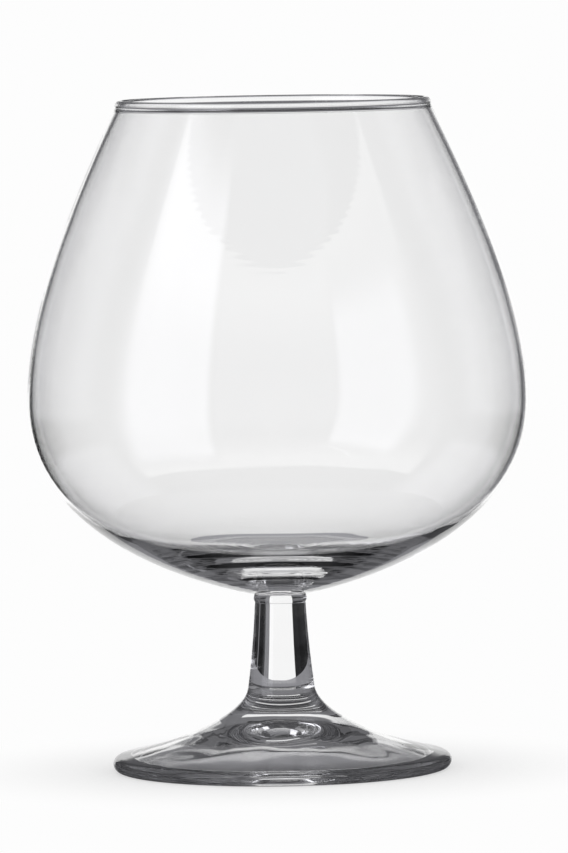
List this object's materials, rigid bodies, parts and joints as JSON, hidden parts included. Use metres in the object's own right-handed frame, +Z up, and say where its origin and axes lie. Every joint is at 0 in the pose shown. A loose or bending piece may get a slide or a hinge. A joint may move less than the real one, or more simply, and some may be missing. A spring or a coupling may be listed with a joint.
{
  "type": "brandy snifter",
  "caption": "Clear stemmed glass with a wide balloon bowl that narrows to a beaded mouth, a thick base, a short solid stem and a round flared foot.",
  "frame": {"origin": "centre of the plane that the foot stands on", "axes": "+Z up along the axis of the glass, from the foot to the mouth"},
  "size_m": [0.1156, 0.1156, 0.1554],
  "materials": {
    "bowl_glass": "fire-polished blown clear glass",
    "stem_glass": "fire-polished solid clear glass",
    "foot_glass": "fire-polished pressed clear glass"
  },
  "bodies": {
    "root": {"bowl": "bowl_glass", "stem": "stem_glass", "foot": "foot_glass"}
  },
  "joints": []
}
